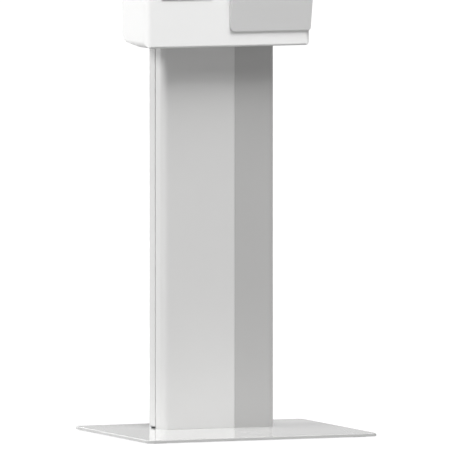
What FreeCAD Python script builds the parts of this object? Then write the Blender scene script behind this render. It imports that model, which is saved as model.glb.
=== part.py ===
import FreeCAD, Part
import math
import os

# Kiosk floor stand. Millimetres, Z up, X to the user's right, Y away from the user.
# The origin lies on the floor below the middle of the base plate.

# Base plate, lying on rubber pads
PLATE_W = 508.0
PLATE_D = 412.0
PLATE_T = 6.0
PLATE_R = 12.0
PLATE_CHAMFER = 0.8
PAD_T = 2.0
PAD_W = 28.0
PAD_INSET = 34.0
ANCHOR_SPACING_X = 144.0
ANCHOR_SPACING_Y = 38.0
ANCHOR_SETBACK = 35.0
ANCHOR_HOLE_R = 5.5
CABLE_X = 97.0
CABLE_SETBACK = 32.0
CABLE_HOLE_R = 10.3
GROMMET_BORE_R = 7.0

# Column
COL_W = 250.0
COL_D = 79.0
COL_H = 789.0
COL_FRONT = 38.0
COL_R = 14.0
COL_REAR_R = 8.0
SHEET = 2.0
BEND_R = 3.0
SPLIT_X = 35.0
JOGGLE_OVERLAP = 22.0
JOGGLE_ROOT = 6.0
RETURN_W = 16.0
RIB_H = 20.0
RIB_LOW = 34.0
RIB_HIGH = 57.0

# Spine, a square post on a foot flange
SPINE_W = 80.0
SPINE_D = 40.0
SPINE_SETBACK = 8.0
SPINE_WALL = 3.0
SPINE_R = 5.0
FLANGE_W = 124.0
FLANGE_D = 50.0
FLANGE_SHIFT = 2.0
FLANGE_T = 6.0

# Head
HEAD_W = 366.0
HEAD_D = 132.0
HEAD_H = 783.0
HEAD_OVERHANG = 52.0
HEAD_WALL = 2.5
HEAD_CORNER_R = 13.0
HEAD_SIDE_R = 12.5
HEAD_EDGE_R = 4.0
HEAD_TOP_R = 6.0
SLOPE_LEAD = 2.0
SLOPE = math.radians(8.5)
REAR_R = 32.0
THROAT_MARGIN = 22.0
THROAT_FRONT = 4.0
THROAT_BACK = 12.0

# Display and the chassis that carries the head
GLASS_W = 322.0
GLASS_LIFT = 221.0
GLASS_T = 3.0
GLASS_R = 6.0
GLASS_MARGIN = 14.0
LCD_T = 16.0
LCD_INSET = 4.0
CHASSIS_T = 3.0
CHASSIS_INSET = 14.0
CHASSIS_RIM = 41.0
CABLE_WAY_IN = 0.33
CABLE_WAY_OUT = 0.83
SPINE_END = 60.0
RAIL_H = 30.0
RAIL_W = 300.0
RAIL_END = 120.0
COMPUTER_W = 105.0
COMPUTER_D = 40.0
COMPUTER_H = 170.0
COMPUTER_GAP = 20.0
CABLE_WAY_GAP = 10.0
CABLE_WAY_H = 30.0
FIN_PITCH = 8.0
FIN_W = 3.0
FIN_DEPTH = 4.0

# Scanner hood
HOOD_W = 179.5
HOOD_H = 162.0
HOOD_SIDE_GAP = 1.3
HOOD_LIFT = 31.0
HOOD_OUT = 3.5
HOOD_TILT = math.radians(10.4)
HOOD_WALL = 2.5
HOOD_RIM_R = 1.4
HOOD_LEFT_R = 13.0
HOOD_RIGHT_R = 6.0
HOOD_TOP_R = 9.0
HOOD_FOOT_R = 1.4
WINDOW_W = 56.0
WINDOW_H = 60.0
WINDOW_LIFT = 67.0
WINDOW_T = 2.0
SCANNER_W = 50.0
SCANNER_H = 70.0
SCANNER_REACH = 8.0
SCANNER_D = 36.0
SCANNER_DROP = 15.0
SCANNER_RIM = 6.0
SCANNER_HOLE_RIM = 5.0
SCANNER_PLATE_RIM = 14.0

# Receipt printer
PRN_W = 106.0
PRN_H = 102.0
PRN_D = 58.0
PRN_WALL = 2.5
PRN_SIDE = 39.0
PRN_LIFT = 104.0
BEZEL_RIM = 5.0
BEZEL_LIP = 3.0
BEZEL_T = 2.0
FLAP_T = 2.5
BARREL_R = 4.0
DISH_W = 30.0
DISH_R = 16.0
DISH_DEPTH = 1.4
SLOT_H = 6.0
HINGE_PIN_R = 1.5
ROLL_R = 23.0
ROLL_W = 79.0
ROLL_SETBACK = 30.0
ROLL_LIFT = 43.0
SPINDLE_R = 5.0
PRINT_HEAD_H = 14.0
PRINT_HEAD_D = 23.0
PRINT_HEAD_GAP = 5.0
PRINT_HEAD_RAKE = 4.0

# Doors, pivots and locks
DOOR_DEPTH = 37.0
DOOR_FLOOR_GAP = 3.5
DOOR_LIP = 14.0
PIVOT_INSET = 7.0
PIVOT_R = 3.0
PIVOT_HEAD_R = 3.8
PIVOT_BASE_W = 11.0
PIVOT_BASE_T = 3.0
PIVOT_REACH = 9.0
COLLAR_DROP = 4.0
VENT_COUNT = 6
VENT_W = 90.0
VENT_H = 5.0
VENT_PITCH = 14.0
VENT_DROP = 151.5
HATCH_MARGIN = 19.0
HATCH_LOW = 54.0
HATCH_HIGH = 17.0
HATCH_DEPTH = 10.0
HATCH_R = 4.0
HATCH_PIVOT_INSET = 6.0
HATCH_PIVOT_DEPTH = 5.0
HATCH_PIVOT_R = 2.5
HATCH_BLOCK_W = 14.0
HATCH_BLOCK_H = 8.0
HATCH_BLOCK_REACH = 5.0
HATCH_BLOCK_SHIFT = 1.0
HATCH_PIN_REACH = 6.0
SLAT_ROWS = 6
SLAT_W = 64.0
SLAT_H = 4.0
SLAT_PITCH = 12.0
SLAT_DROP = 120.0
SLAT_COLUMNS = (-100.0, 0.0, 100.0)
LOCK_R = 9.0
LOCK_FLANGE_R = 11.0
LOCK_FLANGE_T = 2.0
LOCK_LEN = 21.0
PLUG_R = 6.0
CAM_W = 16.0
CAM_T = 2.7
CAM_REACH = 22.0
CAM_NOSE = 3.0
KEEPER_H = 36.0
KEEPER_GAP = 2.4
LOCK_INSET = 30.0
LOCK_HEIGHT = 422.0
HATCH_LOCK_INSET = 24.0

# Power parts in the column
PSU_W = 40.0
PSU_D = 36.0
PSU_H = 160.0
PSU_LIFT = 182.0
PSU_VENT_PITCH = 22.0
PSU_VENT_EDGE = 8.0
INLET_W = 25.4
INLET_H = 46.4
INLET_D = 26.0
INLET_RIM = 4.3
INLET_X = 75.0
INLET_LIFT = 58.8
INLET_FACE_T = 3.0
SOCKET_W = 22.4
SOCKET_H = 17.0
SOCKET_D = 16.0
SOCKET_LIFT = 2.2
BLADE_T = 2.0
BLADE_H = 5.0
BLADE_SPACING = 7.0
BLADE_LIFT = 5.5
EARTH_LIFT = 8.5
ROCKER_W = 20.0
ROCKER_H = 12.0
ROCKER_DROP = 9.2
ROCKER_ROOM = 2.5
ROCKER_SETBACK = 1.0
ROCKER_PIN_R = 1.2
ROCKER_PIN_LEN = 1.3
ROCKER_REACH = 3.7
ROCKER_ROOT = 2.0
ROCKER_CREST = 4.6
ROCKER_WAIST = 3.4
ROCKER_TILT = 8.0

# Clearances
FIT = 0.3
SLIP = 0.1
EDGE_GAP = 0.5
SHEET_GAP = 0.2
DOOR_GAP = 1.2
TURN_GAP = 1.5

# How far a solid runs past a face where it is cut or joined, and how near two places count as one
PAST = 1.0
NEAR = 0.001

# Places that follow from the sizes above
PLATE_TOP = PAD_T + PLATE_T
COL_X = COL_W / 2.0
IN_X = COL_X - SHEET
COL_BACK = COL_FRONT + COL_D
SHELL_BACK = COL_BACK - DOOR_DEPTH - DOOR_GAP
HEAD_X = HEAD_W / 2.0
HEAD_FRONT = COL_FRONT - HEAD_OVERHANG
HEAD_BACK = HEAD_FRONT + HEAD_D
HEAD_Z = PLATE_TOP + COL_H
HEAD_TOP = HEAD_Z + HEAD_H
SLOPE_Y = COL_FRONT - SLOPE_LEAD
SPINE_Y = COL_FRONT + SPINE_SETBACK
SPINE_BACK = SPINE_Y + SPINE_D
FLANGE_MID = SPINE_Y + SPINE_D / 2.0 + FLANGE_SHIFT
FLANGE_TOP = PLATE_TOP + FLANGE_T
ANCHOR_MID = COL_FRONT + ANCHOR_SETBACK
CABLE_Y = COL_FRONT + CABLE_SETBACK
RIB_Z0 = PLATE_TOP + RIB_LOW
RIB_Z2 = HEAD_Z - RIB_HIGH
RIB_LEVELS = (RIB_Z0, (RIB_Z0 + RIB_Z2) / 2.0, RIB_Z2)
GLASS_Z = HEAD_Z + GLASS_LIFT
GLASS_TOP = HEAD_TOP - GLASS_MARGIN
LCD_FRONT = HEAD_FRONT + GLASS_T
LCD_BACK = LCD_FRONT + LCD_T
CHASSIS_X = HEAD_X - HEAD_WALL
CHASSIS_Z0 = GLASS_Z + CHASSIS_INSET
CHASSIS_Z1 = GLASS_TOP - CHASSIS_INSET
CHASSIS_FACE = SPINE_Y - CHASSIS_T
SPINE_TOP = CHASSIS_Z1 - SPINE_END
COMPUTER_TOP = GLASS_TOP - RAIL_END
HOOD_X1 = HEAD_X - HOOD_SIDE_GAP
HOOD_X0 = HOOD_X1 - HOOD_W
HOOD_MID = (HOOD_X0 + HOOD_X1) / 2.0
HOOD_Z0 = HEAD_Z + HOOD_LIFT
HOOD_Z1 = HOOD_Z0 + HOOD_H
WINDOW_Z = HOOD_Z0 + WINDOW_LIFT
SCANNER_Z = WINDOW_Z - SCANNER_DROP
PRN_X0 = -HEAD_X + PRN_SIDE
PRN_X1 = PRN_X0 + PRN_W
PRN_MID = (PRN_X0 + PRN_X1) / 2.0
PRN_Z0 = HEAD_Z + PRN_LIFT
PRN_Z1 = PRN_Z0 + PRN_H
PRN_BACK = HEAD_FRONT + PRN_D
FLAP_Y = HEAD_FRONT - BEZEL_T + BARREL_R
FLAP_Z = PRN_Z0 + BEZEL_LIP + EDGE_GAP + BARREL_R
ROLL_Y = HEAD_FRONT + ROLL_SETBACK
ROLL_Z = PRN_Z0 + ROLL_LIFT
COLLAR_Z = HEAD_Z - COLLAR_DROP
DOOR_Z0 = PLATE_TOP + DOOR_FLOOR_GAP
DOOR_Z1 = COLLAR_Z - TURN_GAP
DOOR_PIVOT = (-COL_X + PIVOT_INSET, COL_BACK - PIVOT_INSET)
HATCH_X = HEAD_X - HATCH_MARGIN
HATCH_Z0 = HEAD_Z + HATCH_LOW
HATCH_Z1 = HEAD_TOP - HATCH_HIGH
HATCH_PIVOT = (-HATCH_X + HATCH_PIVOT_INSET, HEAD_BACK - HATCH_PIVOT_DEPTH)
LOCK_COL = (COL_X - LOCK_INSET, COL_BACK, PLATE_TOP + LOCK_HEIGHT)
LOCK_HEAD = (HATCH_X - HATCH_LOCK_INSET, HEAD_BACK, (HATCH_Z0 + HATCH_Z1) / 2.0)
INLET_Z = PLATE_TOP + INLET_LIFT
INLET_FACE = SPINE_BACK + SHEET
ROCKER_Y = INLET_FACE - ROCKER_SETBACK
ROCKER_Z = INLET_Z + INLET_H - ROCKER_DROP


def vec(x, y, z):
    return FreeCAD.Vector(x, y, z)


def box(x0, x1, y0, y1, z0, z1):
    return Part.makeBox(x1 - x0, y1 - y0, z1 - z0, vec(x0, y0, z0))


def rod_x(x0, x1, y, z, r):
    return Part.makeCylinder(r, x1 - x0, vec(x0, y, z), vec(1, 0, 0))


def rod_y(x, y0, y1, z, r):
    return Part.makeCylinder(r, y1 - y0, vec(x, y0, z), vec(0, 1, 0))


def rod_z(x, y, z0, z1, r):
    return Part.makeCylinder(r, z1 - z0, vec(x, y, z0), vec(0, 0, 1))


def outline(corners, place):
    """Face through corners (u, v, radius), each corner rounded by its radius."""
    count = len(corners)
    spans = []
    for i in range(count):
        u, v, r = corners[i]
        here = vec(u, v, 0)
        back = vec(corners[i - 1][0], corners[i - 1][1], 0) - here
        ahead = vec(corners[(i + 1) % count][0], corners[(i + 1) % count][1], 0) - here
        back.normalize()
        ahead.normalize()
        if r <= 0:
            spans.append((here, None, here))
            continue
        half = back.getAngle(ahead) / 2.0
        reach = r / math.tan(half)
        inward = back + ahead
        inward.normalize()
        crown = here + inward * (r / math.sin(half) - r)
        spans.append((here + back * reach, crown, here + ahead * reach))
    edges = []
    for i in range(count):
        start, crown, stop = spans[i]
        following = spans[(i + 1) % count][0]
        if crown is not None:
            points = [place(p.x, p.y) for p in (start, crown, stop)]
            edges.append(Part.Arc(*points).toShape())
        if (following - stop).Length > NEAR:
            ends = [place(p.x, p.y) for p in (stop, following)]
            edges.append(Part.LineSegment(*ends).toShape())
    return Part.Face(Part.Wire(edges))


def plan(corners, z0, z1):
    """Prism over a plan outline of (x, y, radius)."""
    return outline(corners, lambda x, y: vec(x, y, z0)).extrude(vec(0, 0, z1 - z0))


def side(corners, x0, x1):
    """Prism over a side outline of (y, z, radius)."""
    return outline(corners, lambda y, z: vec(x0, y, z)).extrude(vec(x1 - x0, 0, 0))


def front(corners, y0, y1):
    """Prism over a front outline of (x, z, radius)."""
    return outline(corners, lambda x, z: vec(x, y0, z)).extrude(vec(0, y1 - y0, 0))


def frame(u0, u1, v0, v1, r):
    return [(u0, v0, r), (u1, v0, r), (u1, v1, r), (u0, v1, r)]


def fused(shapes):
    return shapes[0].fuse(shapes[1:]).removeSplitter()


# Base plate, pads and the grommet of the cable hole


def anchor_points():
    dx, dy = ANCHOR_SPACING_X / 2.0, ANCHOR_SPACING_Y / 2.0
    return [(sx * dx, ANCHOR_MID + sy * dy) for sx in (-1, 1) for sy in (-1, 1)]


def base_plate():
    x, y = PLATE_W / 2.0, PLATE_D / 2.0
    plate = plan(frame(-x, x, -y, y, PLATE_R), PAD_T, PLATE_TOP)
    rim = [e for e in plate.Edges if e.BoundBox.ZMin > PLATE_TOP - NEAR]
    plate = plate.makeChamfer(PLATE_CHAMFER, rim)
    holes = [rod_z(CABLE_X, CABLE_Y, 0, PLATE_TOP + PAST, CABLE_HOLE_R)]
    holes += [rod_z(ax, ay, 0, PLATE_TOP + PAST, ANCHOR_HOLE_R) for ax, ay in anchor_points()]
    return plate.cut(holes)


def base_pads():
    x, y, half = PLATE_W / 2.0 - PAD_INSET, PLATE_D / 2.0 - PAD_INSET, PAD_W / 2.0
    return Part.makeCompound([box(px - half, px + half, py - half, py + half, 0, PAD_T)
                              for px in (-x, x) for py in (-y, y)])


def cable_grommet():
    """Rubber bush pressed into the cable hole."""
    bush = rod_z(CABLE_X, CABLE_Y, PAD_T, PLATE_TOP, CABLE_HOLE_R - FIT)
    return bush.cut(rod_z(CABLE_X, CABLE_Y, 0, PLATE_TOP + PAST, GROMMET_BORE_R))


# Spine, a box post welded to its foot flange


def spine():
    x, w = SPINE_W / 2.0, SPINE_WALL
    tube = plan(frame(-x, x, SPINE_Y, SPINE_BACK, SPINE_R), FLANGE_TOP, SPINE_TOP)
    bore = plan(frame(-x + w, x - w, SPINE_Y + w, SPINE_BACK - w, SPINE_R - w), FLANGE_TOP, SPINE_TOP)
    fx, fy = FLANGE_W / 2.0, FLANGE_D / 2.0
    foot = box(-fx, fx, FLANGE_MID - fy, FLANGE_MID + fy, PLATE_TOP, FLANGE_TOP)
    return tube.cut(bore).fuse(foot)


# Column shells, two folded sheets that meet in one plane on the front


def under_head(shape):
    """Trims a piece of the column to the underside of the head."""
    return shape.cut(head_block(-FIT))


def white_shell():
    x, y0, y1, t = COL_X, COL_FRONT, SHELL_BACK, SHEET
    inner_r, inner_bend = COL_R - t, BEND_R - t
    corners = [(-x, y1, BEND_R), (-x, y0, COL_R), (SPLIT_X, y0, 0), (SPLIT_X, y0 + t, 0),
               (SPLIT_X + JOGGLE_OVERLAP, y0 + t, 0), (SPLIT_X + JOGGLE_OVERLAP, y0 + 2 * t, 0),
               (SPLIT_X - JOGGLE_ROOT, y0 + 2 * t, 0), (SPLIT_X - JOGGLE_ROOT, y0 + t, 0),
               (-x + t, y0 + t, inner_r), (-x + t, y1 - t, inner_bend),
               (-x + RETURN_W, y1 - t, 0), (-x + RETURN_W, y1, 0)]
    return under_head(plan(corners, PLATE_TOP, HEAD_Z + REAR_R))


def accent_shell():
    x, y0, y1, t = COL_X, COL_FRONT, SHELL_BACK, SHEET
    inner_r, inner_bend = COL_R - t, BEND_R - t
    left = SPLIT_X + SHEET_GAP
    corners = [(left, y0, 0), (x, y0, COL_R), (x, y1, BEND_R), (x - RETURN_W, y1, 0),
               (x - RETURN_W, y1 - t, 0), (x - t, y1 - t, inner_bend), (x - t, y0 + t, inner_r),
               (left, y0 + t, 0)]
    return under_head(plan(corners, PLATE_TOP, HEAD_Z + REAR_R))


def shell_ribs():
    """Folded trays, open below and behind, that hold the shells to the spine."""
    y0, y1, t = COL_FRONT + 2 * SHEET + FIT, SHELL_BACK - BEND_R - FIT, SHEET
    post = box(-SPINE_W / 2.0, SPINE_W / 2.0, SPINE_Y, COL_BACK, 0, HEAD_Z)
    outer_r = COL_R - t
    ribs = []
    for z in RIB_LEVELS:
        x = IN_X - t
        rib = plan([(-IN_X, y0, outer_r), (IN_X, y0, outer_r), (IN_X, y1, 0), (-IN_X, y1, 0)],
                   z - RIB_H, z)
        hollow = plan([(-x, y0 + t, outer_r - t), (x, y0 + t, outer_r - t), (x, y1 + PAST, 0),
                       (-x, y1 + PAST, 0)], z - RIB_H, z - t)
        ribs.append(rib.cut([hollow, post]))
    return Part.makeCompound(ribs)


# Rear of the column: top collar, door tray and its pivots


def rear_tray(y0, z0, z1):
    """Outer prism of the rear of the column and the room inside its sheet."""
    inner_r = COL_REAR_R - SHEET
    outer = plan([(-COL_X, y0, 0), (COL_X, y0, 0), (COL_X, COL_BACK, COL_REAR_R),
                  (-COL_X, COL_BACK, COL_REAR_R)], z0, z1)
    back = COL_BACK - SHEET
    room = plan([(-IN_X, y0 - PAST, 0), (IN_X, y0 - PAST, 0), (IN_X, back, inner_r), (-IN_X, back, inner_r)],
                z0 + SHEET, z1 - SHEET)
    return outer, room


def top_collar():
    y0 = COL_BACK - DOOR_DEPTH - EDGE_GAP
    neck = COL_X - RETURN_W - FIT
    outer, room = rear_tray(y0, COLLAR_Z, HEAD_Z + 2 * REAR_R)
    shelf = box(-neck, neck, COL_FRONT + 2 * SHEET + FIT, y0 + SHEET, COLLAR_Z, COLLAR_Z + SHEET)
    post = box(-SPINE_W / 2.0, SPINE_W / 2.0, SPINE_Y, SPINE_BACK, COLLAR_Z - PAST, COLLAR_Z + SHEET + PAST)
    pivot = rod_z(DOOR_PIVOT[0], DOOR_PIVOT[1], COLLAR_Z - PAST, COLLAR_Z + SHEET + PAST, PIVOT_R + SLIP)
    return under_head(outer.cut(room).fuse(shelf)).cut([post, pivot])


def column_door():
    """Five sided tray of folded sheet, hung on two pivots."""
    y0 = COL_BACK - DOOR_DEPTH
    outer, room = rear_tray(y0, DOOR_Z0, DOOR_Z1)
    cuts = [room, lock_hole(LOCK_COL)]
    for z in (DOOR_Z0, DOOR_Z1 - SHEET):
        cuts.append(box(-IN_X, IN_X, y0 - PAST, COL_BACK - SHEET - DOOR_LIP, z, z + SHEET))
        cuts.append(rod_z(DOOR_PIVOT[0], DOOR_PIVOT[1], z, z + SHEET, PIVOT_R + FIT))
    for row in range(VENT_COUNT):
        z = DOOR_Z1 - VENT_DROP + VENT_PITCH * row
        cuts.append(box(-VENT_W / 2.0, VENT_W / 2.0, COL_BACK - SHEET - PAST, COL_BACK + PAST,
                        z, z + VENT_H))
    return outer.cut(cuts)


def door_pivot_lower():
    """Stud on a square foot that is welded to the plate."""
    x, y = DOOR_PIVOT
    half = PIVOT_BASE_W / 2.0
    foot = box(x - half, x + half, y - half, y + half, PLATE_TOP, PLATE_TOP + PIVOT_BASE_T)
    return fused([foot, rod_z(x, y, PLATE_TOP, DOOR_Z0 + PIVOT_REACH, PIVOT_R)])


def door_pivot_upper():
    """Pin with a round head that rests on the shelf of the collar."""
    x, y = DOOR_PIVOT
    pin = rod_z(x, y, DOOR_Z1 - PIVOT_REACH, COLLAR_Z + SHEET, PIVOT_R)
    head = rod_z(x, y, COLLAR_Z + SHEET, COLLAR_Z + SHEET + PIVOT_BASE_T, PIVOT_HEAD_R)
    return fused([pin, head])


# Cam locks, one on each rear door


def lock_hole(at):
    x, y, z = at
    return rod_y(x, y - SHEET - PAST, y + PAST, z, LOCK_R + FIT)


def lock_body(at):
    x, y, z = at
    body = fused([rod_y(x, y, y + LOCK_FLANGE_T, z, LOCK_FLANGE_R), rod_y(x, y - LOCK_LEN, y, z, LOCK_R)])
    return body.cut(rod_y(x, y - LOCK_LEN - PAST, y + LOCK_FLANGE_T + PAST, z, PLUG_R + FIT))


def lock_cam(at):
    """Cam with its plug. At rest it points down, clear of the keeper."""
    x, y, z = at
    half = CAM_W / 2.0
    y1 = y - LOCK_LEN - FIT
    nose = half - CAM_NOSE
    cam = front([(x - half, z - CAM_REACH + nose, 0), (x - half + nose, z - CAM_REACH, 0),
                 (x + half - nose, z - CAM_REACH, 0), (x + half, z - CAM_REACH + nose, 0),
                 (x + half, z + half - nose, 0), (x + half - nose, z + half, 0),
                 (x - half + nose, z + half, 0), (x - half, z + half - nose, 0)], y1 - CAM_T, y1)
    plug = rod_y(x, y1 - CAM_T / 2.0, y + LOCK_FLANGE_T - FIT, z, PLUG_R)
    return cam.fuse(plug)


def lock_keeper(at, leg_x, foot_x, foot_y0, foot_y1):
    """Folded bracket whose lip the turned cam gets behind."""
    x, y, z = at
    z0, z1 = z - KEEPER_H / 2.0, z + KEEPER_H / 2.0
    lip_y = y - LOCK_LEN
    lip = box(x + CAM_W / 2.0 + KEEPER_GAP, leg_x + SHEET, lip_y, lip_y + SHEET, z0, z1)
    leg = box(leg_x, leg_x + SHEET, min(lip_y, foot_y0), max(lip_y + SHEET, foot_y1), z0, z1)
    foot = box(min(foot_x, leg_x), max(foot_x, leg_x + SHEET), foot_y0, foot_y1, z0, z1)
    return fused([lip, leg, foot])


def column_lock_keeper():
    leg_x = IN_X - 2 * SHEET
    return lock_keeper(LOCK_COL, leg_x, COL_X - RETURN_W + EDGE_GAP, SHELL_BACK, SHELL_BACK + SHEET)


def head_lock_keeper():
    inner = HEAD_BACK - HEAD_WALL
    leg_x = HATCH_X + 2 * TURN_GAP
    return lock_keeper(LOCK_HEAD, leg_x, HEAD_X - HEAD_WALL - SHEET, inner - SHEET, inner)


# Power parts in the column


def inlet_edges():
    return (INLET_X - INLET_W / 2.0, INLET_X + INLET_W / 2.0, INLET_Z, INLET_Z + INLET_H)


def inlet_bracket():
    x0, x1, z0, z1 = inlet_edges()
    rim = INLET_RIM + INLET_FACE_T
    plate = box(-SPINE_W / 2.0 + SPINE_R, x1 + rim, SPINE_BACK, INLET_FACE, z0 - rim, z1 + rim)
    return plate.cut(box(x0 - FIT, x1 + FIT, SPINE_BACK - PAST, INLET_FACE + PAST, z0 - FIT, z1 + FIT))


def power_inlet():
    x0, x1, z0, z1 = inlet_edges()
    face_y = INLET_FACE + INLET_FACE_T
    flange = front(frame(x0 - INLET_RIM, x1 + INLET_RIM, z0 - INLET_RIM, z1 + INLET_RIM, BEND_R),
                   INLET_FACE, face_y)
    body = box(x0, x1, INLET_FACE - INLET_D, INLET_FACE + PAST, z0, z1)
    sx0, sx1 = INLET_X - SOCKET_W / 2.0, INLET_X + SOCKET_W / 2.0
    sz0 = z0 + SOCKET_LIFT
    sz1 = sz0 + SOCKET_H
    floor = INLET_FACE - SOCKET_D
    socket = box(sx0, sx1, floor, face_y + PAST, sz0, sz1)
    spots = ((-BLADE_SPACING, BLADE_LIFT), (0.0, EARTH_LIFT), (BLADE_SPACING, BLADE_LIFT))
    blades = [box(INLET_X + dx - BLADE_T / 2.0, INLET_X + dx + BLADE_T / 2.0, floor - PAST, INLET_FACE,
                  sz0 + dz, sz0 + dz + BLADE_H) for dx, dz in spots]
    rx, rz = ROCKER_W / 2.0 + FIT + SLIP, ROCKER_H / 2.0 + ROCKER_ROOM
    pocket = box(INLET_X - rx, INLET_X + rx, ROCKER_Y - ROCKER_REACH, face_y + PAST, ROCKER_Z - rz,
                 ROCKER_Z + rz)
    reach = ROCKER_W / 2.0 + ROCKER_PIN_LEN + FIT
    bearing = rod_x(INLET_X - reach, INLET_X + reach, ROCKER_Y, ROCKER_Z, ROCKER_PIN_R + FIT)
    return flange.fuse(body).cut([socket, pocket, bearing]).fuse(blades)


def power_rocker():
    """Rocker in the pocket above the socket, pivoted across the stand."""
    y, z, h = ROCKER_Y, ROCKER_Z, ROCKER_H / 2.0
    root, crest = y - ROCKER_ROOT, y + ROCKER_CREST
    rocker = side([(root, z - h, 0), (crest, z - h, EDGE_GAP), (y + ROCKER_WAIST, z, 0),
                   (crest, z + h, EDGE_GAP), (root, z + h, 0)],
                  INLET_X - ROCKER_W / 2.0, INLET_X + ROCKER_W / 2.0)
    rocker.rotate(vec(INLET_X, y, z), vec(1, 0, 0), ROCKER_TILT)
    reach = ROCKER_W / 2.0 + ROCKER_PIN_LEN
    return rocker.fuse(rod_x(INLET_X - reach, INLET_X + reach, y, z, ROCKER_PIN_R))


def power_supply():
    x0, z0 = SPINE_W / 2.0, PLATE_TOP + PSU_LIFT
    y0, y1 = SPINE_BACK - PSU_D - SHEET, SPINE_BACK - SHEET
    outer = x0 + PSU_W
    can = plan([(x0, y0, 0), (outer, y0, BEND_R), (outer, y1, BEND_R), (x0, y1, 0)], z0, z0 + PSU_H)
    vents = []
    for row in range(1, int(PSU_H / PSU_VENT_PITCH)):
        z = z0 + PSU_VENT_PITCH * row
        vents.append(box(x0 + PSU_VENT_EDGE, outer - PSU_VENT_EDGE, y1 - SHEET, y1 + PAST, z, z + BEND_R))
    return can.cut(vents)


# Head shell


def head_block(inset):
    """Outer form of the head, drawn in by an inset. A negative inset grows it."""
    x, y0, y1 = HEAD_X - inset, HEAD_FRONT + inset, HEAD_BACK - inset
    z0, z1 = HEAD_Z + inset, HEAD_TOP - inset
    slope_z = HEAD_Z + inset / math.cos(SLOPE) + (y1 - SLOPE_Y) * math.tan(SLOPE)
    turn = SLOPE_Y - inset * math.tan(SLOPE / 2.0)
    profile = side([(y0, z0, HEAD_EDGE_R - inset), (turn, z0, 0), (y1, slope_z, REAR_R - inset),
                    (y1, z1, HEAD_TOP_R - inset), (y0, z1, HEAD_EDGE_R - inset)], -x, x)
    face = front(frame(-x, x, z0, z1, HEAD_CORNER_R - inset), y0, y1)
    uprights = plan([(-x, y0, HEAD_SIDE_R - inset), (x, y0, HEAD_SIDE_R - inset),
                     (x, y1, HEAD_EDGE_R - inset), (-x, y1, HEAD_EDGE_R - inset)], z0, z1)
    return profile.common(face).common(uprights).removeSplitter()


def head_shell():
    shell = head_block(0.0).cut(head_block(HEAD_WALL))
    y0, y1 = HEAD_FRONT - PAST, HEAD_FRONT + HEAD_WALL + PAST
    g = EDGE_GAP
    x = GLASS_W / 2.0 + g
    window = front(frame(-x, x, GLASS_Z - g, GLASS_TOP + g, GLASS_R + g), y0, y1)
    slot = box(PRN_X0 - g, PRN_X1 + g, y0, y1, PRN_Z0 - g, PRN_Z1 + g)
    sx0, sx1, sz0, sz1 = scanner_edges(SCANNER_HOLE_RIM)
    scan = box(sx0, sx1, y0, y1, sz0, sz1)
    tx = SPINE_W / 2.0 + THROAT_MARGIN
    throat = box(-tx, tx, SPINE_Y - THROAT_FRONT, SPINE_BACK + THROAT_BACK, HEAD_Z - PAST, HEAD_Z + REAR_R)
    hx = HATCH_X + TURN_GAP
    hatch_hole = box(-hx, hx, HEAD_BACK - HEAD_WALL - PAST, HEAD_BACK + PAST, HATCH_Z0 - TURN_GAP,
                     HATCH_Z1 + TURN_GAP)
    return shell.cut([window, slot, scan, throat, hatch_hole])


# Chassis, display and computer inside the head


def head_chassis():
    x, t, y0, y1 = CHASSIS_X, CHASSIS_T, SPINE_Y - CHASSIS_RIM, SPINE_Y
    tray = plan([(-x, y0, 0), (-x + t, y0, 0), (-x + t, y1 - t, BEND_R - SHEET),
                 (x - t, y1 - t, BEND_R - SHEET), (x - t, y0, 0), (x, y0, 0), (x, y1, BEND_R),
                 (-x, y1, BEND_R)], CHASSIS_Z0, CHASSIS_Z1)
    top = COMPUTER_TOP - COMPUTER_H - CABLE_WAY_GAP
    near, far = x * CABLE_WAY_IN, x * CABLE_WAY_OUT
    ways = [box(low, high, CHASSIS_FACE - PAST, y1 + PAST, top - CABLE_WAY_H, top)
            for low, high in ((-far, -near), (near, far))]
    return tray.cut(ways)


def display_rails():
    """Channels between the chassis and the back of the display panel."""
    y0, y1, t = LCD_BACK, CHASSIS_FACE, SHEET
    rails = []
    for z in (GLASS_Z + RAIL_END, GLASS_TOP - RAIL_END - RAIL_H):
        top = z + RAIL_H
        rails.append(side([(y0, z, 0), (y1, z, 0), (y1, top, 0), (y1 - t, top, 0), (y1 - t, z + t, 0),
                           (y0 + t, z + t, 0), (y0 + t, top, 0), (y0, top, 0)],
                          -RAIL_W / 2.0, RAIL_W / 2.0))
    return Part.makeCompound(rails)


def display_panel():
    x = GLASS_W / 2.0 - LCD_INSET
    tray = box(-x, x, LCD_FRONT, LCD_BACK, GLASS_Z + LCD_INSET, GLASS_TOP - LCD_INSET)
    rear = [e for e in tray.Edges if e.BoundBox.YMin > LCD_BACK - NEAR]
    return tray.makeChamfer(SHEET, rear)


def display_glass():
    x = GLASS_W / 2.0
    return front(frame(-x, x, GLASS_Z, GLASS_TOP, GLASS_R), HEAD_FRONT, LCD_FRONT)


def computer():
    """Fanless box with cooling fins, on the back of the chassis beside the spine."""
    x0 = SPINE_W / 2.0 + COMPUTER_GAP
    x1, y1 = x0 + COMPUTER_W, SPINE_Y + COMPUTER_D
    z0, z1 = COMPUTER_TOP - COMPUTER_H, COMPUTER_TOP
    body = plan([(x0, SPINE_Y, 0), (x1, SPINE_Y, 0), (x1, y1, BEND_R), (x0, y1, BEND_R)], z0, z1)
    count = int(COMPUTER_W / FIN_PITCH) - 1
    grooves = [box(x0 + FIN_PITCH * k, x0 + FIN_PITCH * k + FIN_W, y1 - FIN_DEPTH, y1 + PAST,
                   z0 + FIN_PITCH, z1 - FIN_PITCH) for k in range(1, count + 1)]
    return body.cut(grooves)


# Scanner hood and what sits behind it


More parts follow.
